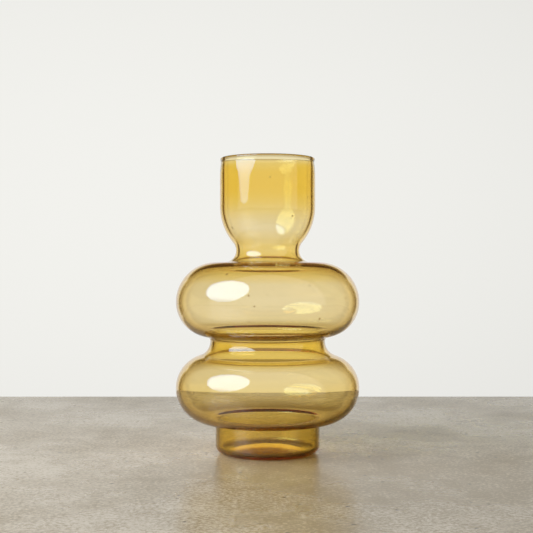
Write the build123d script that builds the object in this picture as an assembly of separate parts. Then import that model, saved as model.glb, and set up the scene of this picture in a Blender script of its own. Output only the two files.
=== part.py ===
from build123d import *
from math import asin, atan2, cos, degrees, radians, sin, sqrt, tan
from typing import NamedTuple
import os

# Gourd vase of clear amber glass, in millimetres. It stands on z = 0 with its axis on Z.
# The glass is one thin wall, modelled as the sections that it is formed in, from the base up.
# Neighbouring sections meet face to face on a cut square to the wall.

HEIGHT = 200.0
WALL = 2.6

# base and foot
KICK_RADIUS = 24.0       # inside this radius the base rises off the table
KICK_RISE = 2.5          # height of the shallow dome under the base
FOOT_RADIUS = 35.4
FOOT_HEIGHT = 20.5       # up to the underside of the lower bulb
FOOT_EDGE = 6.0          # round of the bottom corner
FOOT_CREASE = 0.8        # small hollow round where the foot meets the bulb

# bulbs: each has one section radius below its widest line and another above it
BULB_RADIUS = 62.2
LOWER_BELLY = 23.9
LOWER_SHOULDER = 22.4
UPPER_BULB_Z = 102.2     # height of the upper bulb's widest line
UPPER_BELLY = 23.7
UPPER_SHOULDER = 27.0
SHOULDER_SLOPE = 2.0     # rise of the upper bulb's top towards the neck, in degrees

# waist between the bulbs
WAIST_RADIUS = 39.0
WAIST_FLARE = 10.3       # hollow round down to the lower bulb

# neck, cup and lip
NECK_RADIUS = 21.5
NECK_FLARE_DOWN = 7.6    # hollow round down to the upper bulb
NECK_FLARE_UP = 8.6      # hollow round up to the cup
CUP_RADIUS = 32.4
CUP_ROUND = 37.9         # section radius of the cup's rounded bottom
CUP_LEAN_Z = 187.0       # above this height the outside of the cup leans in
LIP_HEIGHT = 4.0
LIP_RADIUS = 31.8        # outside of the cup where the lip starts
LIP_BEAD = 1.175         # round of the bead at the edge of the mouth

MEETING = 1e-6           # points closer than this are the same point


class Bend(NamedTuple):
    """An arc of the wall's section, on the outer face; a hollow one has its centre outside the glass."""
    center: tuple
    radius: float
    start: float
    end: float
    hollow: bool = False

    def radius_at(self, depth):
        return self.radius + depth if self.hollow else self.radius - depth

    def point(self, angle, depth):
        radius = self.radius_at(depth)
        return (self.center[0] + radius * cos(radians(angle)), self.center[1] + radius * sin(radians(angle)))

    def start_at(self, depth):
        return self.point(self.start, depth)

    def end_at(self, depth):
        return self.point(self.end, depth)

    def edge(self, depth):
        return CenterArc(self.center, self.radius_at(depth), self.start, self.end - self.start)


def run_to(start, end):
    """A straight run, or nothing where the two points meet."""
    apart = sqrt((end[0] - start[0]) ** 2 + (end[1] - start[1]) ** 2)
    return [Line(start, end)] if apart > MEETING else []


def wall_path(bends, depth, previous=None, following=None):
    """The bends in order at one depth in the wall, with the straight runs before, between and after them."""
    edges = []
    for bend in bends:
        if previous:
            edges += run_to(previous.end_at(depth), bend.start_at(depth))
        edges.append(bend.edge(depth))
        previous = bend
    if following:
        edges += run_to(previous.end_at(depth), following.start_at(depth))
    return edges


def turned(edges):
    """The ring of glass that a closed section makes around the axis."""
    return revolve(Plane.XZ * make_face(edges), Axis.Z, 360)


def wall_section(bends, previous=None, following=None):
    """A section of even wall, with the straight runs from the previous bend and to the following one."""
    depths = (0, WALL)
    low_cut = [previous.end_at(depth) if previous else bends[0].start_at(depth) for depth in depths]
    high_cut = [following.start_at(depth) if following else bends[-1].end_at(depth) for depth in depths]
    edges = [Line(*low_cut), Line(*high_cut)]
    for depth in depths:
        edges += wall_path(bends, depth, previous, following)
    return turned(edges)


def tangent_angle(center, other):
    """Direction from one arc's centre to the other's, which passes through the point where they touch."""
    return degrees(atan2(other[1] - center[1], other[0] - center[0]))


def hollow_to(start, angle, center, radius):
    """Centre and radius of the hollow arc from a start point that touches a round arc.

    The angle is the direction from the start to the hollow arc's centre.
    """
    way = (cos(radians(angle)), sin(radians(angle)))
    apart = (start[0] - center[0], start[1] - center[1])
    along = apart[0] * way[0] + apart[1] * way[1]
    hollow = (apart[0] ** 2 + apart[1] ** 2 - radius**2) / (2 * (radius - along))
    return (start[0] + hollow * way[0], start[1] + hollow * way[1]), hollow


# base: a shallow dome
kick_sphere = (KICK_RADIUS**2 + KICK_RISE**2) / (2 * KICK_RISE)
kick_edge = 90 - degrees(asin(KICK_RADIUS / kick_sphere))
kick = Bend((0, KICK_RISE - kick_sphere), kick_sphere, 90, kick_edge, True)

# foot: rounded bottom corner, upright wall, hollow crease
corner = Bend((FOOT_RADIUS - FOOT_EDGE, FOOT_EDGE), FOOT_EDGE, -90, 0)
crease = Bend((FOOT_RADIUS + FOOT_CREASE, FOOT_HEIGHT - FOOT_CREASE), FOOT_CREASE, 180, 90, True)

# bulbs and waist: the waist's arcs touch the bulbs' arcs
lower_z = FOOT_HEIGHT + LOWER_BELLY
lower_shoulder_center = (BULB_RADIUS - LOWER_SHOULDER, lower_z)
flare_x = WAIST_RADIUS + WAIST_FLARE
waist_z = lower_z + sqrt((LOWER_SHOULDER + WAIST_FLARE) ** 2 - (flare_x - lower_shoulder_center[0]) ** 2)
lower_touch = tangent_angle(lower_shoulder_center, (flare_x, waist_z))
upper_belly_center = (BULB_RADIUS - UPPER_BELLY, UPPER_BULB_Z)
throat_center, waist_throat = hollow_to((WAIST_RADIUS, waist_z), 0, upper_belly_center, UPPER_BELLY)
upper_touch = tangent_angle(upper_belly_center, throat_center)

lower_belly = Bend((BULB_RADIUS - LOWER_BELLY, lower_z), LOWER_BELLY, -90, 0)
lower_shoulder = Bend(lower_shoulder_center, LOWER_SHOULDER, 0, lower_touch)
waist_flare = Bend((flare_x, waist_z), WAIST_FLARE, 180 + lower_touch, 180, True)
waist_upper = Bend(throat_center, waist_throat, 180, 180 + upper_touch, True)
upper_belly = Bend(upper_belly_center, UPPER_BELLY, upper_touch, 0)
upper_shoulder = Bend((BULB_RADIUS - UPPER_SHOULDER, UPPER_BULB_Z), UPPER_SHOULDER, 0, 90 - SHOULDER_SLOPE)

# neck: two hollow rounds that meet at the narrowest ring; the bulb's top slopes straight up to them
slope = radians(SHOULDER_SLOPE)
shoulder_end = upper_shoulder.end_at(0)
flare_down_x = NECK_RADIUS + NECK_FLARE_DOWN
slope_end_x = flare_down_x - NECK_FLARE_DOWN * sin(slope)
slope_end_z = shoulder_end[1] + (shoulder_end[0] - slope_end_x) * tan(slope)
neck_z = slope_end_z + NECK_FLARE_DOWN * cos(slope)
flare_up_center = (NECK_RADIUS + NECK_FLARE_UP, neck_z)
cup_center_x = CUP_RADIUS - CUP_ROUND
cup_z = neck_z + sqrt((NECK_FLARE_UP + CUP_ROUND) ** 2 - (flare_up_center[0] - cup_center_x) ** 2)
cup_touch = tangent_angle((cup_center_x, cup_z), flare_up_center)

neck_flare_down = Bend((flare_down_x, neck_z), NECK_FLARE_DOWN, 270 - SHOULDER_SLOPE, 180, True)
neck_flare_up = Bend(flare_up_center, NECK_FLARE_UP, 180, 180 + cup_touch, True)
cup_round = Bend((cup_center_x, cup_z), CUP_ROUND, cup_touch, 0)

# cup wall: straight inside, leaning in outside on one large arc, so that it thins to the lip
cup_bore = CUP_RADIUS - WALL
lip_z = HEIGHT - LIP_HEIGHT
lean_rise = lip_z - CUP_LEAN_Z
lean_drop = CUP_RADIUS - LIP_RADIUS
lean_radius = (lean_rise**2 + lean_drop**2) / (2 * lean_drop)
lip_angle = degrees(asin(lean_rise / lean_radius))
cup_lean = Bend((CUP_RADIUS - lean_radius, CUP_LEAN_Z), lean_radius, 0, lip_angle)

# lip: a small hollow that runs out into the bead, which is flush with the inside
bead_center = (cup_bore + LIP_BEAD, HEIGHT - LIP_BEAD)
lip_hollow_center, lip_hollow_radius = hollow_to(cup_lean.end_at(0), lip_angle, bead_center, LIP_BEAD)
bead_touch = tangent_angle(bead_center, lip_hollow_center)
lip_hollow = Bend(lip_hollow_center, lip_hollow_radius, 180 + lip_angle, 180 + bead_touch, True)
lip_bead = Bend(bead_center, LIP_BEAD, bead_touch, 180)


def cup():
    inner_top = (cup_bore, lip_z)
    return turned(
        wall_path([cup_round, cup_lean], 0)
        + [Line(cup_lean.end_at(0), inner_top), Line(inner_top, cup_round.end_at(WALL))]
        + [cup_round.edge(WALL), Line(cup_round.start_at(WALL), cup_round.start_at(0))]
    )


def rim_lip():
    inner_low = (cup_bore, lip_z)
    return turned(
        wall_path([lip_hollow, lip_bead], 0)
        + [Line(lip_bead.end_at(0), inner_low), Line(inner_low, lip_hollow.start_at(0))]
    )


sections = {
    "base_disc": wall_section([kick]),
    "foot_ring": wall_section([corner, crease], kick),
    "lower_bulb": wall_section([lower_belly, lower_shoulder], crease),
    "waist": wall_section([waist_flare, waist_upper]),
    "upper_bulb": wall_section([upper_belly, upper_shoulder], following=neck_flare_down),
    "neck": wall_section([neck_flare_down, neck_flare_up]),
    "cup": cup(),
    "rim_lip": rim_lip(),
}

os.makedirs("parts", exist_ok=True)
for name, glass in sections.items():
    export_step(glass, f"parts/{name}.step")
    box = glass.bounding_box()
    print(f"{name}: z {box.min.Z:.2f} to {box.max.Z:.2f}, radius {box.max.X:.2f}, {glass.volume:.0f} mm3")
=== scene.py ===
from math import asin, atan2, ceil, cos, pi, radians, sin, sqrt, tan
from typing import NamedTuple

import bmesh
import bpy
from bpy.props import FloatProperty, FloatVectorProperty, PointerProperty
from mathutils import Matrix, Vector


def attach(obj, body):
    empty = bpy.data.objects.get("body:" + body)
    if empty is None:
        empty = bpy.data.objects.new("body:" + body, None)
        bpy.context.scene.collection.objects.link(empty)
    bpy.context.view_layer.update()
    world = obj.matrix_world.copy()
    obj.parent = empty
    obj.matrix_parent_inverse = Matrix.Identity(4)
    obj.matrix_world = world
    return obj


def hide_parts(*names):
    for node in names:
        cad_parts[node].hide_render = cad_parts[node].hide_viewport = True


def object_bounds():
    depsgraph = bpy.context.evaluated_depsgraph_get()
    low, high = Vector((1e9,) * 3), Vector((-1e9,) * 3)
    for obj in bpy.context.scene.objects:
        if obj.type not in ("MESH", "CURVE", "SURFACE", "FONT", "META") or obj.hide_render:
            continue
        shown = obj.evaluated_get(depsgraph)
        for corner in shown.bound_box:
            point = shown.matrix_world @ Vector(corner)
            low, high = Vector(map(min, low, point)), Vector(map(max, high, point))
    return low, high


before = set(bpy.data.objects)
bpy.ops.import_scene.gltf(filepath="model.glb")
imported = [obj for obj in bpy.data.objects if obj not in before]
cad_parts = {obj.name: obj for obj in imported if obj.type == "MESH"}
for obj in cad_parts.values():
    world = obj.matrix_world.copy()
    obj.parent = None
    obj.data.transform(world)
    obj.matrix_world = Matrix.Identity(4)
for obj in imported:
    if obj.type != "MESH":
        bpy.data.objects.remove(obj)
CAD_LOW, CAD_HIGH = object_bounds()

bl_info = {
    "name": "Gourd Vase",
    "version": (1, 0, 0),
    "blender": (4, 5, 0),
    "location": "3D View > Sidebar > Gourd Vase",
    "description": "Blows a gourd vase of clear amber glass and stands it on a table in soft light",
    "category": "Object",
}

SECTIONS = ("base_disc", "foot_ring", "lower_bulb", "waist", "upper_bulb", "neck", "cup", "rim_lip")

# the points of the wall's outer face hold 1 under this name, and those of its inner face 0
OUTSIDE = "outside"

# how finely the glass is drawn
AROUND = 168
BEND_STEP = radians(3.8)
RUN_STEP = 0.0028
LEAST_STEPS = 4
MEETING = 1e-7
WELD = 1e-6

# light runs a long way inside the wall before it leaves the glass
BOUNCES = 96

# the photograph's frame is square, on Blender's usual sensor
PHOTO_PIXELS = 533
SENSOR = 36.0

# share of the deep tint at each share of the height: most in the foot, the waist and the cup
DEPTH_BY_HEIGHT = [
    (0.0, 1.0), (0.10, 1.0), (0.13, 0.6), (0.20, 0.35), (0.26, 0.1), (0.30, 0.15), (0.33, 1.0),
    (0.39, 1.0), (0.42, 0.15), (0.47, 0.0), (0.575, 0.05), (0.595, 0.33), (0.62, 0.65), (0.645, 0.85),
    (0.685, 0.55), (0.71, 0.42), (0.73, 0.16), (0.757, 0.0), (0.783, 0.05), (0.81, 0.28), (0.835, 0.58),
    (0.86, 0.8), (0.89, 1.0), (0.965, 1.0), (0.98, 0.5), (1.0, 0.35),
]

# share of the brown painted shade at each share of the height: at the foot's bottom edge, under the bulbs and
# on the lip
PAINTED_SHADE_BY_HEIGHT = [
    (0.0, 1.0), (0.012, 1.0), (0.026, 0.0), (0.098, 0.0), (0.104, 0.5), (0.12, 0.45), (0.14, 0.0),
    (0.375, 0.0), (0.385, 0.4), (0.405, 0.4), (0.42, 0.0), (0.988, 0.0), (0.995, 0.75),
]

# share of the rim's painted shade at each share of the height: most along the lower edges of the bulbs
RIM_BY_HEIGHT = [
    (0.0, 0.85), (0.10, 0.85), (0.105, 1.0), (0.15, 1.0), (0.185, 0.82), (0.22, 0.68), (0.30, 0.55),
    (0.35, 0.6), (0.372, 0.9), (0.385, 1.0), (0.41, 0.95), (0.435, 0.72), (0.51, 0.64), (0.58, 0.55),
    (0.66, 0.5), (1.0, 0.58),
]

# how far the outer face turns away before a painted shade starts and where it is full: 0 is face on, 1 is
# edge on
SLANT_TURN = (0.42, 0.68)
RIM_TURN = (0.62, 0.82)

# where the rim's share is above this, the painted shade on the slanted face goes over to brown
BROWN_FROM = 0.6

# specks: cells to a metre, how far a speck reaches in its cell, and the share of the cells that have one;
# the last two fade out between a pair of values
SEEDS = {"cells": 70.0, "reach": (0.04, 0.075), "share": (0.35, 0.37)}
PITS = {"cells": 120.0, "reach": (0.08, 0.2), "share": (0.10, 0.14)}

# the turning rings are drawn out sideways and close together upwards
RING_STRETCH = (6.0, 6.0, 90.0)

# distances from the middle of the vase's painted shadow and reflection on the table: full up to the first,
# gone at the second
PAINTED_SHADOW_REACH = (0.04, 0.2)

# how far the edges in the room are softened, as an angle seen from the vase
ROOM_SOFT = radians(3.0)

# angles to the side of the vase between which the lit wall gets brighter
WALL_GAIN_TURN = (radians(3.0), radians(12.0))

# heights on a lamp between which its lower edge brightens, as shares of its width
LAMP_EDGE = (0.0, 0.25)


def length(name, description, default):
    return FloatProperty(name=name, description=description, default=default, precision=5, unit="LENGTH")


def angle(name, description, default):
    return FloatProperty(name=name, description=description, default=default, subtype="ANGLE")


def share(name, description, default):
    return FloatProperty(name=name, description=description, default=default, min=0.0, max=1.0,
                         subtype="FACTOR")


def number(name, description, default):
    return FloatProperty(name=name, description=description, default=default, precision=4)


def colour(name, description, default):
    return FloatVectorProperty(name=name, description=description, default=default, size=3,
                               min=0.0, max=1.0, subtype="COLOR")


def power(name, description, default):
    return FloatProperty(name=name, description=description, default=default, unit="POWER")


def spot(name, description, default):
    return FloatVectorProperty(name=name, description=description, default=default, size=3, subtype="XYZ",
                               unit="LENGTH")


class GourdVaseForm(bpy.types.PropertyGroup):
    """Sizes of the glass wall's section."""
    height: length("Height", "From the table to the top of the lip", round(CAD_HIGH.z - CAD_LOW.z, 4))
    wall: length("Wall", "Thickness of the glass", 0.0026)
    kick_radius: length("Kick radius", "Inside this radius the base rises off the table", 0.024)
    kick_rise: length("Kick rise", "Height of the shallow dome under the base", 0.0025)
    foot_radius: length("Foot radius", "Outside of the straight foot", 0.0354)
    foot_height: length("Foot height", "Up to the underside of the lower bulb", 0.0205)
    foot_edge: length("Foot edge", "Round of the bottom corner", 0.006)
    foot_crease: length("Foot crease", "Hollow round where the foot meets the bulb", 0.0008)
    bulb_radius: length("Bulb radius", "Widest line of both bulbs", round((CAD_HIGH.x - CAD_LOW.x) / 2, 4))
    lower_belly: length("Lower belly", "Section radius of the lower bulb below its widest line", 0.0239)
    lower_shoulder: length("Lower shoulder", "Section radius of the lower bulb above its widest line", 0.0224)
    upper_bulb_z: length("Upper bulb height", "Height of the upper bulb's widest line", 0.1022)
    upper_belly: length("Upper belly", "Section radius of the upper bulb below its widest line", 0.0237)
    upper_shoulder: length("Upper shoulder", "Section radius of the upper bulb above its widest line", 0.027)
    shoulder_slope: angle("Shoulder slope", "Rise of the upper bulb's top towards the neck", radians(2.0))
    waist_radius: length("Waist radius", "Narrowest ring between the bulbs", 0.039)
    waist_flare: length("Waist flare", "Hollow round from the waist down to the lower bulb", 0.0103)
    neck_radius: length("Neck radius", "Narrowest ring above the upper bulb", 0.0215)
    neck_flare_down: length("Neck flare down", "Hollow round from the neck down to the upper bulb", 0.0076)
    neck_flare_up: length("Neck flare up", "Hollow round from the neck up to the cup", 0.0086)
    cup_radius: length("Cup radius", "Outside of the cup's straight wall", 0.0324)
    cup_round: length("Cup round", "Section radius of the cup's rounded bottom", 0.0379)
    cup_lean_z: length("Cup lean height", "Above this height the outside of the cup leans in", 0.187)
    lip_height: length("Lip height", "From the start of the lip to its top", 0.004)
    lip_radius: length("Lip radius", "Outside of the cup where the lip starts", 0.0318)
    lip_bead: length("Lip bead", "Round of the bead at the edge of the mouth", 0.001175)


class GourdVaseGlass(bpy.types.PropertyGroup):
    """Colour and clearness of the glass."""
    pale: colour("Pale amber", "Tint of one wall where the colour is thinnest", (0.965, 0.942, 0.859))
    deep: colour("Deep amber", "Tint of one wall where the colour is thickest", (0.974, 0.847, 0.367))
    # painted shade: this brown darkens the glass at the foot's bottom edge, under the bulbs, on the lip and
    # along the rims; the seeds take the same brown
    painted_shade_and_seed_brown: colour("Fold brown", "Tint of one wall at the folds and melted edges", (0.42, 0.31, 0.16))
    # painted shade: darker amber on the outside where it turns away
    slant: colour("Slant amber", "Tint of the outside where it is seen at a slant", (0.93, 0.76, 0.38))
    # painted shade: near black on the outside where it is seen almost edge on, most along the bulbs' lower
    # edges
    rim: colour("Rim brown", "Tint of the outside where it is seen almost along it", (0.14, 0.11, 0.105))
    body: colour("Body colour", "Colour that the depth of the glass adds", (0.926, 0.72, 0.13))
    density: number("Body density", "How fast the depth of the glass adds its colour, per metre", 130.0)
    ior: number("Refraction", "Index of refraction of the glass", 1.5)
    ripple: length("Ripple", "Height of the faint rings left by turning", 0.00003)
    waves: number("Waves", "Height of the soft waves, in ripples", 2.0)


class GourdVaseStage(bpy.types.PropertyGroup):
    """Table, wall behind, lamps and camera."""
    table_pale: colour("Table, pale", "Pale patches of the table top", (0.665, 0.545, 0.36))
    table_dark: colour("Table, dark", "Dark patches of the table top", (0.355, 0.262, 0.135))
    table_pit: colour("Table, pits", "Small pits in the table top", (0.10, 0.075, 0.04))
    pit_shade: share("Pit shade", "How fully the pits take their colour", 0.8)
    table_shade: number("Table shade", "Where the table's middle colour is, from pale to dark", 0.4)
    cloud_shade: number("Cloud shade", "How much the broad clouds darken the table", 1.8)
    mottle_shade: number("Mottle shade", "How much the mottling darkens the table", 1.2)
    grain_shade: number("Grain shade", "How much the fine grain darkens the table", 4.6)
    # painted shadow and reflection of the vase: the next two set how much a soft patch in front of the vase
    # darkens the table, and where its middle is
    painted_shadow_strength: number("Stain shade", "How much the soft stain darkens the table", 0.5)
    painted_shadow_place: spot("Stain", "Middle of the table's soft dark stain", (0.05, -0.1, 0.0))
    table_polish: number("Table polish", "Roughness of the table where it is smoothest", 0.18)
    table_wear: number("Table wear", "Roughness that the clouds add to the table", 0.2)
    table_edge: length("Table edge", "Bevel of the slab's edges", 0.0015)
    table_back: length("Table back", "From the vase to the table's far edge", 0.308)
    wall_colour: colour("Wall", "Colour of the wall behind where it is brightest", (0.888, 0.884, 0.847))
    wall_half: angle("Wall half width", "How far the lit wall reaches to each side", radians(32.5))
    wall_top: angle("Wall top", "How high the lit wall reaches, seen from the vase", radians(17.0))
    wall_gain: share("Wall gain", "How much brighter the lit wall is beside the vase than behind it", 0.12)
    glow_side: number("Glow side", "Where the wall is brightest: its share to the right", -0.158)
    glow_rise: number("Glow rise", "Where the wall is brightest: its share upwards", 0.0725)
    glow_fall_side: number("Glow fall, side", "How fast the wall gets darker to the sides", 0.35)
    glow_fall_rise: number("Glow fall, rise", "How fast the wall gets darker upwards and downwards", 1.2)
    glow_least: share("Glow least", "Brightness of the wall where it is darkest", 0.88)
    corner_half: angle("Corner half width", "Where the unlit corners beside the wall end", radians(46.0))
    corner_colour: colour("Corner colour", "Unlit corners beside and above the wall", (0.10, 0.05, 0.012))
    room_light: share("Room light", "Brightness of the room seen through the glass, of the wall's", 0.85)
    side_half: angle("Side half width", "Where the room's dark sides end, towards the front", radians(105.0))
    side_light: share("Side light", "Brightness of the room's mirrored sides, of the wall's", 0.03)
    front_light: number("Front light", "Brightness of the room's mirrored front, of the wall's", 1.3)
    fill_light: share("Fill light", "Brightness of the room, of the wall's, on the table", 0.20)
    lamp_power: power("Lamp power", "Power of the lamp that lights the table", 25.0)
    lamp_colour: colour("Lamp colour", "Colour of the lamp that lights the table", (0.70, 0.78, 1.0))
    window_power: power("Window power", "Power of the lamp that lights the glass", 26.5)
    window_colour: colour("Window colour", "Colour of the lamp that lights the glass", (0.43, 0.64, 1.0))
    lamp_low: colour("Lamp low edge", "Share of its light at a lamp's lower edge", (0.28, 0.36, 0.46))
    lamp_size: length("Lamp size", "Width of the round soft lamps", 1.15)
    lamp_place: spot("Lamp place", "Middle of the round soft lamps", (-0.831, -0.536, 0.702))
    lamp_aim: spot("Lamp aim", "Point that the lamps face", (-0.02, -0.05, 0.11))
    camera_back: length("Camera distance", "From the vase's axis to the camera", 0.718)
    camera_side: length("Camera side step", "From the vase's axis, to the right", -0.00075)
    camera_height: length("Camera height", "Above the table", 0.1263)
    pixels_per_metre: number("Scale", "Pixels of the photograph to a metre at the vase's axis", 1470.0)


class Bend(NamedTuple):
    """An arc of the wall's section, on the outer face; a hollow one has its centre outside the glass."""
    center: tuple
    radius: float
    start: float
    end: float
    hollow: bool = False

    def radius_at(self, depth):
        return self.radius + depth if self.hollow else self.radius - depth

    def point(self, turn, depth):
        radius = self.radius_at(depth)
        return (self.center[0] + radius * cos(turn), self.center[1] + radius * sin(turn))

    def end_at(self, depth):
        return self.point(self.end, depth)


class SectionLine:
    """The line of the wall's section, drawn onwards from its tip in the XZ plane."""

    def __init__(self, mesh, start):
        self.mesh = mesh
        self.tip = mesh.verts.new((start[0], 0.0, start[1]))

    def sweep(self, steps, **path):
        """Carries the tip along a path, leaving a line of points behind it."""
        made = bmesh.ops.spin(self.mesh, geom=[self.tip], axis=(0.0, 1.0, 0.0), steps=steps, **path)
        self.tip = next(item for item in made["geom_last"] if isinstance(item, bmesh.types.BMVert))

    def run_to(self, end):
        """Draws straight on to a point, in short lengths so that the shading stays even."""
        way = Vector((end[0], 0.0, end[1])) - self.tip.co
        if way.length > MEETING:
            steps = ceil(way.length / RUN_STEP)
            self.sweep(steps, angle=0.0, dvec=way / steps)

    def follow(self, bend, depth, backwards=False):
        """Draws straight to a bend's start and then round it, or backwards from its end."""
        first, last = (bend.end, bend.start) if backwards else (bend.start, bend.end)
        self.run_to(bend.point(first, depth))
        turn = last - first
        by_turn = ceil(abs(turn) / BEND_STEP)
        by_length = ceil(abs(turn) * bend.radius_at(depth) / RUN_STEP)
        steps = max(LEAST_STEPS, by_turn, by_length)
        self.sweep(steps, angle=-turn, cent=(bend.center[0], 0.0, bend.center[1]))


def tangent_turn(center, other):
    """Direction from one arc's centre to the other's, which passes through the point where they touch."""
    return atan2(other[1] - center[1], other[0] - center[0])


def hollow_to(start, turn, center, radius):
    """Centre and radius of the hollow arc from a start point that touches a round arc.

    The turn is the direction from the start to the hollow arc's centre.
    """
    way = (cos(turn), sin(turn))
    apart = (start[0] - center[0], start[1] - center[1])
    along = apart[0] * way[0] + apart[1] * way[1]
    hollow = (apart[0] ** 2 + apart[1] ** 2 - radius**2) / (2 * (radius - along))
    return (start[0] + hollow * way[0], start[1] + hollow * way[1]), hollow


def lower_bends(form):
    """Base, foot and lower bulb, from the axis out and up, and the waist's arcs, which touch both bulbs."""
    right = pi / 2
    kick_sphere = (form.kick_radius**2 + form.kick_rise**2) / (2 * form.kick_rise)
    kick_edge = right - asin(form.kick_radius / kick_sphere)
    lower_z = form.foot_height + form.lower_belly
    shoulder_center = (form.bulb_radius - form.lower_shoulder, lower_z)
    flare_x = form.waist_radius + form.waist_flare
    flare_reach = form.lower_shoulder + form.waist_flare
    waist_z = lower_z + sqrt(flare_reach**2 - (flare_x - shoulder_center[0]) ** 2)
    lower_touch = tangent_turn(shoulder_center, (flare_x, waist_z))
    belly_center = (form.bulb_radius - form.upper_belly, form.upper_bulb_z)
    throat_center, throat = hollow_to((form.waist_radius, waist_z), 0.0, belly_center, form.upper_belly)
    upper_touch = tangent_turn(belly_center, throat_center)
    return [
        Bend((0.0, form.kick_rise - kick_sphere), kick_sphere, right, kick_edge, True),
        Bend((form.foot_radius - form.foot_edge, form.foot_edge), form.foot_edge, -right, 0.0),
        Bend((form.foot_radius + form.foot_crease, form.foot_height - form.foot_crease), form.foot_crease,
             pi, right, True),
        Bend((form.bulb_radius - form.lower_belly, lower_z), form.lower_belly, -right, 0.0),
        Bend(shoulder_center, form.lower_shoulder, 0.0, lower_touch),
        Bend((flare_x, waist_z), form.waist_flare, pi + lower_touch, pi, True),
        Bend(throat_center, throat, pi, pi + upper_touch, True),
        Bend(belly_center, form.upper_belly, upper_touch, 0.0),
    ]


def upper_bends(form):
    """Top of the upper bulb, the neck's two hollow rounds and the cup's rounded bottom."""
    slope = form.shoulder_slope
    shoulder = Bend((form.bulb_radius - form.upper_shoulder, form.upper_bulb_z), form.upper_shoulder,
                    0.0, pi / 2 - slope)
    shoulder_end = shoulder.end_at(0.0)
    flare_x = form.neck_radius + form.neck_flare_down
    slope_end_x = flare_x - form.neck_flare_down * sin(slope)
    slope_end_z = shoulder_end[1] + (shoulder_end[0] - slope_end_x) * tan(slope)
    neck_z = slope_end_z + form.neck_flare_down * cos(slope)
    flare_up = (form.neck_radius + form.neck_flare_up, neck_z)
    cup_x = form.cup_radius - form.cup_round
    cup_z = neck_z + sqrt((form.neck_flare_up + form.cup_round) ** 2 - (flare_up[0] - cup_x) ** 2)
    cup_touch = tangent_turn((cup_x, cup_z), flare_up)
    return [
        shoulder,
        Bend((flare_x, neck_z), form.neck_flare_down, 3 * pi / 2 - slope, pi, True),
        Bend(flare_up, form.neck_flare_up, pi, pi + cup_touch, True),
        Bend((cup_x, cup_z), form.cup_round, cup_touch, 0.0),
    ]


def lip_bends(form):
    """The outside of the cup leans in on one large arc, and a small hollow runs out into the lip's bead."""
    rise = form.height - form.lip_height - form.cup_lean_z
    drop = form.cup_radius - form.lip_radius
    lean_radius = (rise**2 + drop**2) / (2 * drop)
    lip_turn = asin(rise / lean_radius)
    lean = Bend((form.cup_radius - lean_radius, form.cup_lean_z), lean_radius, 0.0, lip_turn)
    bead_center = (form.cup_radius - form.wall + form.lip_bead, form.height - form.lip_bead)
    hollow_center, hollow = hollow_to(lean.end_at(0.0), lip_turn, bead_center, form.lip_bead)
    bead_turn = tangent_turn(bead_center, hollow_center)
    return [
        lean,
        Bend(hollow_center, hollow, pi + lip_turn, pi + bead_turn, True),
        Bend(bead_center, form.lip_bead, bead_turn, pi),
    ]


def glass_mesh(form):
    """The closed wall of glass: up the outside, over the lip, down the inside, and once round the axis."""
    wall_bends = lower_bends(form) + upper_bends(form)
    mesh = bmesh.new()
    outside = mesh.verts.layers.float.new(OUTSIDE)
    line = SectionLine(mesh, (0.0, form.kick_rise))
    for bend in wall_bends + lip_bends(form):
        line.follow(bend, 0.0)
    outer_points = len(mesh.verts)
    for bend in reversed(wall_bends):
        line.follow(bend, form.wall, backwards=True)
    mesh.verts.ensure_lookup_table()
    for point in mesh.verts[:outer_points]:
        point[outside] = 1.0
    bmesh.ops.spin(mesh, geom=mesh.verts[:] + mesh.edges[:], cent=(0.0, 0.0, 0.0), axis=(0.0, 0.0, 1.0),
                   angle=2 * pi, steps=AROUND, use_merge=True)
    bmesh.ops.remove_doubles(mesh, verts=mesh.verts[:], dist=WELD)
    bmesh.ops.recalc_face_normals(mesh, faces=mesh.faces[:])
    return mesh


class Tone:
    """A socket in a node tree; sums with it add Math nodes."""

    def __init__(self, bench, socket):
        self.bench = bench
        self.socket = socket

    def of(self, name):
        """Another output of the same node."""
        return Tone(self.bench, self.socket.node.outputs[name])

    def __add__(self, other):
        return self.bench.maths("ADD", self, other)

    def __radd__(self, other):
        return self.bench.maths("ADD", other, self)

    def __sub__(self, other):
        return self.bench.maths("SUBTRACT", self, other)

    def __rsub__(self, other):
        return self.bench.maths("SUBTRACT", other, self)

    def __mul__(self, other):
        return self.bench.maths("MULTIPLY", self, other)

    def __rmul__(self, other):
        return self.bench.maths("MULTIPLY", other, self)

    def __truediv__(self, other):
        return self.bench.maths("DIVIDE", self, other)


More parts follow.
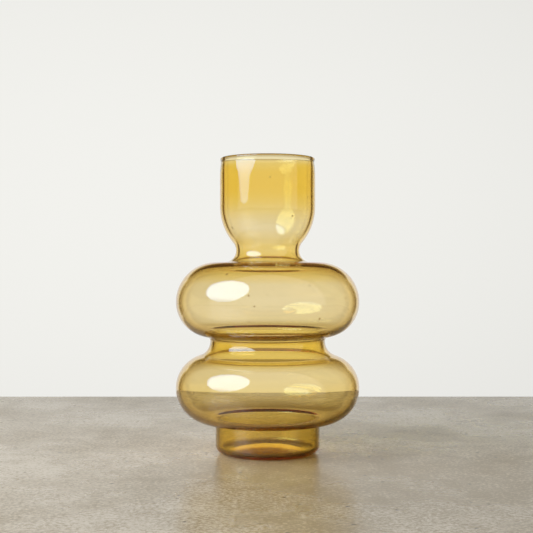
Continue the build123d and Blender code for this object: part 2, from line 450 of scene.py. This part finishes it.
class Bench:
    """A node tree that a finish is mixed in."""

    def __init__(self, owner):
        owner.use_nodes = True
        self.tree = owner.node_tree
        self.tree.nodes.clear()

    def node(self, kind, settings=None, sockets=None):
        """Adds a node: its settings first, then a value or a link for each named socket."""
        made = self.tree.nodes.new(kind)
        for name, value in (settings or {}).items():
            if name == "stops":
                self.set_stops(made.color_ramp, value)
            else:
                setattr(made, name, value)
        for name, value in (sockets or {}).items():
            if isinstance(value, Tone):
                self.tree.links.new(value.socket, made.inputs[name])
            else:
                made.inputs[name].default_value = value
        return Tone(self, made.outputs[0]) if made.outputs else made

    def set_stops(self, ramp, stops):
        """Stops of a grey ramp, as pairs of place and brightness."""
        while len(ramp.elements) < len(stops):
            ramp.elements.new(1.0)
        for element, (place, grey) in zip(ramp.elements, stops):
            element.position = place
            element.color = (grey, grey, grey, 1.0)

    def maths(self, operation, first, second=0.0):
        return self.node("ShaderNodeMath", {"operation": operation}, {0: first, 1: second})

    def fade(self, value, start, end):
        """1 up to start, falling smoothly to 0 at end."""
        return self.node("ShaderNodeMapRange", {"interpolation_type": "SMOOTHSTEP"},
                         {"Value": value, "From Min": start, "From Max": end, "To Min": 1.0, "To Max": 0.0})

    def fade_at(self, value, edge, soft):
        """1 below an edge and 0 above it, with a soft change to each side of it."""
        return self.fade(value, edge - soft, edge + soft)

    def noise(self, vector, scale, detail, roughness=0.5):
        """A soft random pattern, from 0 to 1."""
        return self.node("ShaderNodeTexNoise", None, {
            "Vector": vector, "Scale": scale, "Detail": detail, "Roughness": roughness})

    def specks(self, vector, cells, reach, share):
        """1 in small round specks, each in the middle of a cell of the pattern, and 0 around them."""
        pattern = self.node("ShaderNodeTexVoronoi", None, {"Vector": vector, "Scale": cells})
        chosen = self.node("ShaderNodeSeparateXYZ", None, {"Vector": pattern.of("Color")}).of("X")
        return self.fade(pattern.of("Distance"), *reach) * self.fade(chosen, *share)

    def mix(self, factor, first, second):
        """A colour between two others."""
        made = self.node("ShaderNodeMix", {"data_type": "RGBA"}, {"Factor": factor})
        node = made.socket.node
        for name, value in (("A_Color", first), ("B_Color", second)):
            socket = next(item for item in node.inputs if item.identifier == name)
            if isinstance(value, Tone):
                self.tree.links.new(value.socket, socket)
            else:
                socket.default_value = (*value, 1.0)
        return Tone(self, next(item for item in node.outputs if item.identifier == "Result_Color"))


def amber_glass(form, glass):
    """Clear glass with seeds, turning rings and waves.

    It is deeper in the foot, the waist and the cup. Painted shade makes it brown at the foot's bottom edge,
    under the bulbs and on the lip, and darker on the outside where it turns away.
    """
    material = bpy.data.materials.new("amber_glass")
    bench = Bench(material)
    place = bench.node("ShaderNodeTexCoord").of("Object")
    axes = bench.node("ShaderNodeSeparateXYZ", None, {"Vector": place})
    height = axes.of("Z") / form.height
    out = bench.maths("SQRT", axes.of("X") * axes.of("X") + axes.of("Y") * axes.of("Y"))
    depth = bench.node("ShaderNodeValToRGB", {"stops": DEPTH_BY_HEIGHT}, {"Fac": height})
    # painted shade: brown at the foot's bottom edge, under the bulbs and on the lip; the seeds are mixed into
    # the same brown
    painted_shade_and_seed_brown = bench.node("ShaderNodeValToRGB", {"stops": PAINTED_SHADE_BY_HEIGHT}, {"Fac": height})
    along = bench.node("ShaderNodeValToRGB", {"stops": RIM_BY_HEIGHT}, {"Fac": height})
    at_wall = 1.0 - bench.fade(out, form.kick_radius, form.kick_radius + form.wall)
    brown = bench.maths("MAXIMUM", painted_shade_and_seed_brown * at_wall, bench.specks(place, **SEEDS))
    outside = bench.node("ShaderNodeAttribute", {"attribute_name": OUTSIDE}).of("Fac")
    facing = bench.node("ShaderNodeLayerWeight", None, {"Blend": 0.5}).of("Facing")
    # painted shade on the outline: darker amber where the outside turns away, near black where it is seen
    # almost edge on, most along the bulbs' lower edges
    slant = outside * (1.0 - bench.fade(facing, *SLANT_TURN))
    rim = outside * along * (1.0 - bench.fade(facing, *RIM_TURN))
    edge = bench.mix((along - BROWN_FROM) / (1.0 - BROWN_FROM), glass.slant, glass.painted_shade_and_seed_brown)
    amber = bench.mix(slant, bench.mix(depth, glass.pale, glass.deep), edge)
    tint = bench.mix(brown, bench.mix(rim, amber, glass.rim), glass.painted_shade_and_seed_brown)
    rings = bench.node("ShaderNodeVectorMath", {"operation": "MULTIPLY"}, {0: place, 1: RING_STRETCH})
    turned = bench.noise(rings, scale=1.0, detail=2.0)
    waves = bench.noise(place, scale=32.0, detail=1.0)
    ripple = bench.node("ShaderNodeBump", None, {
        "Strength": 1.0, "Distance": glass.ripple, "Height": turned + glass.waves * waves})
    shader = bench.node("ShaderNodeBsdfPrincipled", None, {
        "Base Color": tint, "Roughness": 0.0, "IOR": glass.ior, "Transmission Weight": 1.0, "Normal": ripple})
    body = bench.node("ShaderNodeVolumeAbsorption", None, {
        "Color": (*glass.body, 1.0), "Density": glass.density})
    bench.node("ShaderNodeOutputMaterial", None, {"Surface": shader, "Volume": body})
    return material


def table_top(stage):
    """Worn concrete: broad pale and dark clouds, mottling, fine grain and small pits, with a soft painted
    shadow and reflection of the vase darkening it in front of the vase.
    """
    material = bpy.data.materials.new("table_top")
    bench = Bench(material)
    place = bench.node("ShaderNodeTexCoord").of("Object")
    clouds = bench.noise(place, scale=9.0, detail=4.0, roughness=0.6)
    mottle = bench.noise(place, scale=70.0, detail=5.0, roughness=0.6)
    grain = bench.noise(place, scale=420.0, detail=3.0, roughness=0.75)
    pits = bench.specks(place, **PITS)
    apart = bench.node("ShaderNodeVectorMath", {"operation": "DISTANCE"}, {0: place, 1: stage.painted_shadow_place})
    # painted shadow and reflection of the vase: a soft dark patch on the table in front of the vase and to
    # its right
    shade = stage.table_shade + stage.painted_shadow_strength * bench.fade(apart.of("Value"), *PAINTED_SHADOW_REACH)
    patterns = ((clouds, stage.cloud_shade), (mottle, stage.mottle_shade), (grain, stage.grain_shade))
    for pattern, strength in patterns:
        shade = shade + strength * (pattern - 0.5)
    surface = bench.mix(shade, stage.table_pale, stage.table_dark)
    tint = bench.mix(stage.pit_shade * pits, surface, stage.table_pit)
    bump = bench.node("ShaderNodeBump", None, {
        "Strength": 0.3, "Distance": 0.0004, "Height": mottle + 0.5 * grain - pits})
    shader = bench.node("ShaderNodeBsdfPrincipled", None, {
        "Base Color": tint, "Roughness": stage.table_polish + stage.table_wear * clouds,
        "Specular IOR Level": 1.0, "Normal": bump})
    bench.node("ShaderNodeOutputMaterial", None, {"Surface": shader})
    return material


def studio_room(stage):
    """The room around the table, with a lit wall behind the vase.

    The camera sees the wall alone. Through the glass the wall ends in dark corners, with the rest of the
    room beyond them. Mirrored in the glass, the room's sides are dark and its front is light. All other
    light from the room is dim.
    """
    world = bpy.data.worlds.new("studio_room")
    bench = Bench(world)
    path = bench.node("ShaderNodeLightPath")
    way = bench.node("ShaderNodeTexCoord").of("Generated")
    axes = bench.node("ShaderNodeSeparateXYZ", None, {"Vector": way})
    side = bench.maths("ARCTAN2", bench.maths("ABSOLUTE", axes.of("X")), axes.of("Y"))
    rise = bench.maths("ARCSINE", axes.of("Z"))
    glow_side = axes.of("X") - stage.glow_side
    glow_rise = axes.of("Z") - stage.glow_rise
    glow = 1.0 - stage.glow_fall_side * glow_side * glow_side - stage.glow_fall_rise * glow_rise * glow_rise
    within_sides = bench.fade_at(side, stage.wall_half, ROOM_SOFT / 2)
    below_top = bench.fade_at(rise, stage.wall_top, ROOM_SOFT / 2)
    lit = within_sides * below_top
    wall = 1.0 + stage.wall_gain * (1.0 - bench.fade(side, *WALL_GAIN_TURN))
    corner = bench.fade_at(side, stage.corner_half, ROOM_SOFT)
    through = stage.room_light + corner * (1.0 - stage.room_light)
    beside = bench.fade_at(side, stage.side_half, ROOM_SOFT)
    mirrored = stage.front_light + beside * (stage.side_light - stage.front_light)
    camera = path.of("Is Camera Ray")
    refracted = path.of("Is Transmission Ray")
    reflected = path.of("Is Glossy Ray") * (1.0 - refracted)
    seen = lit * (refracted * wall + reflected) + (1.0 - lit) * (refracted * through + reflected * mirrored)
    plain = 1.0 - camera - refracted - reflected
    strength = camera * bench.maths("MAXIMUM", glow, stage.glow_least) + seen + plain * stage.fill_light
    tint = bench.mix(refracted * corner * (1.0 - lit), stage.wall_colour, stage.corner_colour)
    light = bench.node("ShaderNodeBackground", None, {"Color": tint, "Strength": strength})
    bench.node("ShaderNodeOutputWorld", None, {"Surface": light})
    return world


def place_object(name, data):
    made = bpy.data.objects.new(name, data)
    bpy.context.scene.collection.objects.link(made)
    return made


def object_from(name, mesh, material, smooth):
    """A mesh object at the origin, with its place in its mesh."""
    for face in mesh.faces:
        face.smooth = smooth
    data = bpy.data.meshes.new(name)
    mesh.to_mesh(data)
    mesh.free()
    data.materials.append(material)
    return place_object(name, data)


def set_table(stage):
    """A broad slab whose far edge shows behind the vase."""
    width, deep, thick = 4.0, 2.5, 0.04
    slab = bmesh.new()
    bmesh.ops.create_cube(slab, size=1.0)
    bmesh.ops.scale(slab, verts=slab.verts[:], vec=(width, deep, thick))
    bmesh.ops.translate(slab, verts=slab.verts[:], vec=(0.0, stage.table_back - deep / 2, -thick / 2))
    bmesh.ops.bevel(slab, geom=slab.edges[:], offset=stage.table_edge, offset_type="OFFSET", affect="EDGES",
                    segments=2, profile=0.5, material=-1)
    table = object_from("table", slab, table_top(stage), False)
    return table


def hang_lamp(stage, name, watts, tint, table, reach):
    """A round soft lamp, high on the left in front and dimmer at its lower edge.

    With the reach INCLUDE it lights the table alone, and with EXCLUDE all but the table.
    """
    lamp = bpy.data.lights.new(name, "AREA")
    lamp.shape = "DISK"
    lamp.size = stage.lamp_size
    lamp.energy = watts
    lamp.color = tint
    bench = Bench(lamp)
    across = bench.node("ShaderNodeNewGeometry").of("Parametric")
    up = bench.node("ShaderNodeSeparateXYZ", None, {"Vector": across}).of("Y")
    glow = bench.mix(bench.fade(up, *LAMP_EDGE), (1.0, 1.0, 1.0), stage.lamp_low)
    light = bench.node("ShaderNodeEmission", None, {"Color": glow})
    bench.node("ShaderNodeOutputLight", None, {"Surface": light})
    hung = place_object(name, lamp)
    hung.location = stage.lamp_place
    way = Vector(stage.lamp_aim) - hung.location
    hung.rotation_euler = way.to_track_quat("-Z", "Y").to_euler()
    hung.visible_camera = False
    lit = bpy.data.collections.new(name)
    lit.objects.link(table)
    lit.collection_objects[0].light_linking.link_state = reach
    hung.light_linking.receiver_collection = lit


def set_camera(stage):
    """Level with the vase's upper bulb, as in the photograph."""
    camera = bpy.data.cameras.new("camera")
    camera.sensor_width = SENSOR
    camera.lens = stage.pixels_per_metre * stage.camera_back / PHOTO_PIXELS * SENSOR
    held = place_object("camera", camera)
    held.location = (stage.camera_side, -stage.camera_back, stage.camera_height)
    held.rotation_euler = (pi / 2, 0.0, 0.0)
    bpy.context.scene.camera = held


class GourdVaseBlowGlass(bpy.types.Operator):
    """Blow the glass wall of the vase, from the base up to the lip"""
    bl_idname = "gourd_vase.blow_glass"
    bl_label = "Blow glass"

    def execute(self, context):
        form = context.scene.gourd_vase_form
        glass = amber_glass(form, context.scene.gourd_vase_glass)
        vase = object_from("gourd_vase_glass", glass_mesh(form), glass, True)
        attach(vase, "root")
        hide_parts(*SECTIONS)
        return {"FINISHED"}


class GourdVaseSetStage(bpy.types.Operator):
    """Set the table, the wall behind, the lamps and the camera"""
    bl_idname = "gourd_vase.set_stage"
    bl_label = "Set stage"

    def execute(self, context):
        stage = context.scene.gourd_vase_stage
        table = set_table(stage)
        context.scene.world = studio_room(stage)
        hang_lamp(stage, "table_lamp", stage.lamp_power, stage.lamp_colour, table, "INCLUDE")
        hang_lamp(stage, "window_lamp", stage.window_power, stage.window_colour, table, "EXCLUDE")
        set_camera(stage)
        context.scene.view_settings.view_transform = "Standard"
        light = context.scene.cycles
        light.blur_glossy = 0.0
        light.max_bounces = BOUNCES
        light.transmission_bounces = BOUNCES
        light.glossy_bounces = BOUNCES
        return {"FINISHED"}


class GourdVasePanel(bpy.types.Panel):
    """The vase's sizes, glass and stage"""
    bl_idname = "VIEW3D_PT_gourd_vase"
    bl_label = "Gourd Vase"
    bl_space_type = "VIEW_3D"
    bl_region_type = "UI"
    bl_category = "Gourd Vase"

    def draw(self, context):
        scene = context.scene
        for operator, group in ((GourdVaseBlowGlass, scene.gourd_vase_form), (None, scene.gourd_vase_glass),
                                (GourdVaseSetStage, scene.gourd_vase_stage)):
            box = self.layout.box()
            if operator:
                box.operator(operator.bl_idname)
            for name in group.__annotations__:
                box.prop(group, name)


CLASSES = (
    GourdVaseForm, GourdVaseGlass, GourdVaseStage,
    GourdVaseBlowGlass, GourdVaseSetStage, GourdVasePanel,
)


def register():
    for each in CLASSES:
        bpy.utils.register_class(each)
    bpy.types.Scene.gourd_vase_form = PointerProperty(type=GourdVaseForm)
    bpy.types.Scene.gourd_vase_glass = PointerProperty(type=GourdVaseGlass)
    bpy.types.Scene.gourd_vase_stage = PointerProperty(type=GourdVaseStage)


def unregister():
    del bpy.types.Scene.gourd_vase_stage
    del bpy.types.Scene.gourd_vase_glass
    del bpy.types.Scene.gourd_vase_form
    for each in reversed(CLASSES):
        bpy.utils.unregister_class(each)


def main():
    register()
    bpy.ops.gourd_vase.blow_glass()
    bpy.ops.gourd_vase.set_stage()


if __name__ == "__main__":
    main()
